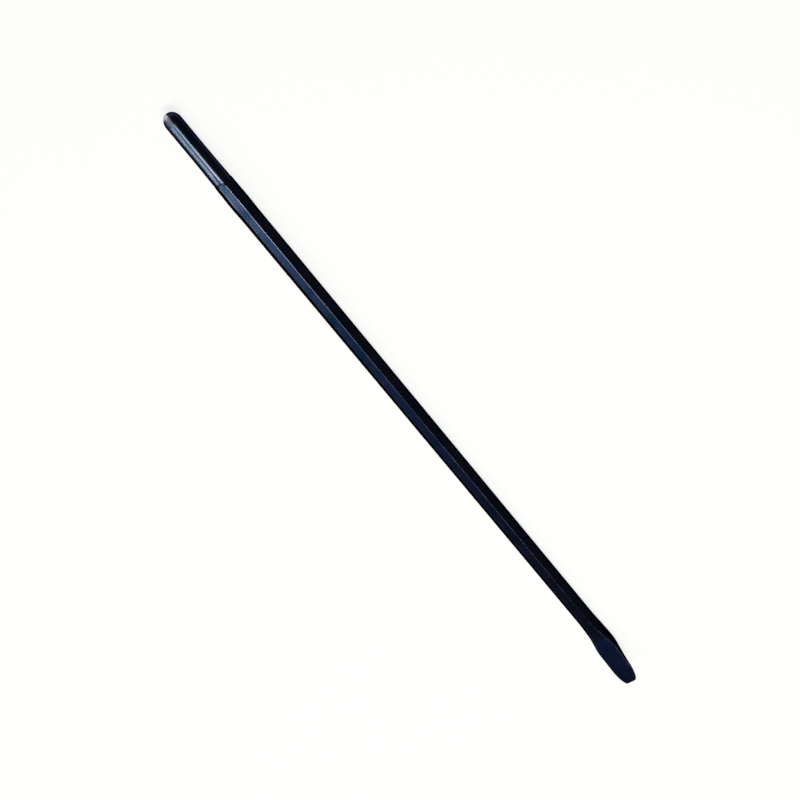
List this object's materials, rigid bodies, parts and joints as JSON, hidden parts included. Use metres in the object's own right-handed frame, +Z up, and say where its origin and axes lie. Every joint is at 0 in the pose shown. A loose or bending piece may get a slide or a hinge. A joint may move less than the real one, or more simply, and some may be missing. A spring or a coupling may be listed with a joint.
{
  "type": "straight crowbar",
  "caption": "Straight octagonal steel crowbar, forged in one piece, with a turned domed heel and a lifted chisel blade for prying and levering.",
  "frame": {"origin": "on the surface that the bar lies on, under the middle of its length and width", "axes": "+X along the bar from the domed heel to the chisel blade; +Z up as the bar lies on one of its flats with the blade's edge lifted"},
  "size_m": [1, 0.0268, 0.0308],
  "materials": {
    "black_paint": "gloss"
  },
  "bodies": {
    "root": {"forged_bar": "black_paint"}
  },
  "joints": []
}
